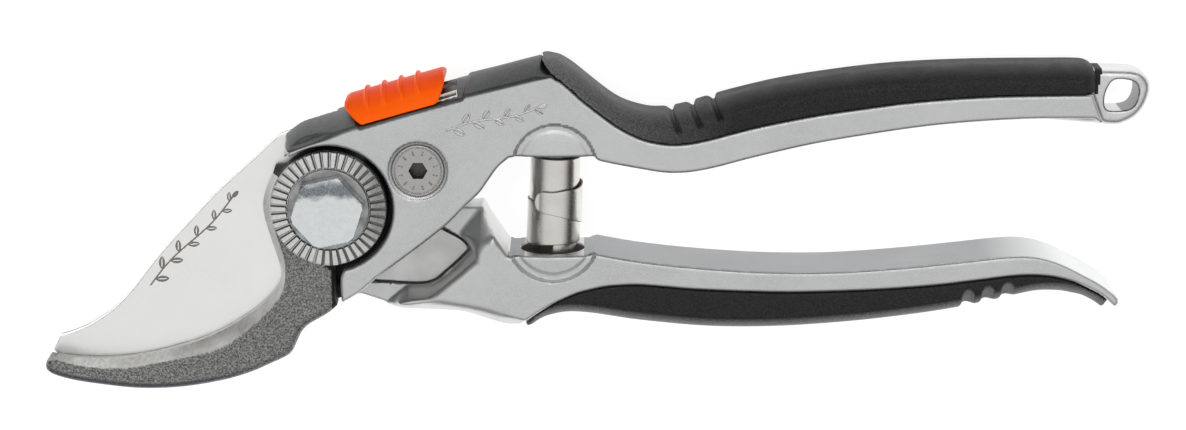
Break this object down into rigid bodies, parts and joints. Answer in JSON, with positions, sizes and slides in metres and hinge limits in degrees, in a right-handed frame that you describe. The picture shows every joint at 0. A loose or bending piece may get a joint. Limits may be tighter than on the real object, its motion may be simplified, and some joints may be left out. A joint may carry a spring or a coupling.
{
  "type": "bypass pruner",
  "caption": "Hand pruner with a curved cutting blade, a hooked counter blade, two cast handles with rubber grips, a strip return spring and a sliding lock.",
  "frame": {"origin": "on the pivot bolt's axis, in the plane of the back faces that the closed pruner lies on", "axes": "+X along the handles away from the jaws, +Y towards the upper handle that carries the lock, +Z out of the front face along the pivot axis"},
  "size_m": [0.2201, 0.0677, 0.0217],
  "materials": {
    "cast_aluminium": "fine bead-blasted, satin",
    "grip_rubber": "fine matt grain",
    "hammered_paint_steel": "grey hammered finish, bright ground inner edge",
    "blade_steel": "satin ground",
    "zinc_steel": "bright zinc",
    "nickel_steel": "nickel plated",
    "spring_steel": "plain",
    "bronze": "plain turned",
    "orange_plastic": "glossy"
  },
  "bodies": {
    "upper_arm": {"upper_handle": "cast_aluminium", "upper_grip": "grip_rubber", "counter_blade": "hammered_paint_steel", "counter_blade_screw": "nickel_steel", "pivot_bolt": "zinc_steel", "head_washer": "zinc_steel", "toothed_washer": "zinc_steel", "pivot_nut": "zinc_steel", "disc_spring": "spring_steel", "volute_spring": "nickel_steel", "lock_track_strip": "nickel_steel", "detent_leaf": "spring_steel"},
    "lower_arm": {"lower_handle": "cast_aluminium", "lower_grip": "grip_rubber", "cutting_blade": "blade_steel", "pivot_bushing": "bronze", "tang_dowel_a": "spring_steel", "tang_dowel_b": "spring_steel"},
    "lock": {"lock_slider": "orange_plastic", "lock_bolt": "spring_steel"}
  },
  "joints": [
    {"name": "handle_pivot", "type": "hinge", "parent": "upper_arm", "child": "lower_arm", "pos_m": [0, 0, 0], "axis": [0, 0, -1], "range_deg": [0, 28], "deforming": ["volute_spring"]},
    {"name": "lock_slide", "type": "slide", "parent": "upper_arm", "child": "lock", "axis": [0.9613, 0.2756, 0], "range_m": [0, 0.004]}
  ]
}
